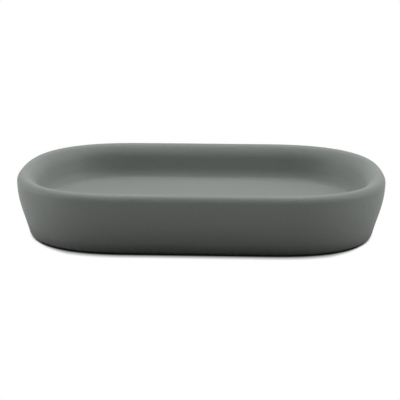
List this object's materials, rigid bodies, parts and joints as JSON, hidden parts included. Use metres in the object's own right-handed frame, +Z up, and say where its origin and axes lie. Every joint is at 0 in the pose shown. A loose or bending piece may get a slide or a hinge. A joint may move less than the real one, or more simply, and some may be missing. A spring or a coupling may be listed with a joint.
{
  "type": "soap dish",
  "caption": "Long stoneware soap dish with squarish round ends, outward-leaning wall, fat rounded rim and flat-floored soap recess, standing on rubber pads.",
  "frame": {"origin": "on the counter, under the middle of the dish: the centre of the bounding box's bottom face", "axes": "+X along the dish's length, +Y across it towards the back, +Z up"},
  "size_m": [0.138, 0.09, 0.0225],
  "materials": {
    "soft_touch_stoneware": "matte, smooth soft-touch coat",
    "pad_rubber": "matte"
  },
  "bodies": {
    "root": {"dish_body": "soft_touch_stoneware", "pad_front_left": "pad_rubber", "pad_front_right": "pad_rubber", "pad_back_left": "pad_rubber", "pad_back_right": "pad_rubber"}
  },
  "joints": []
}
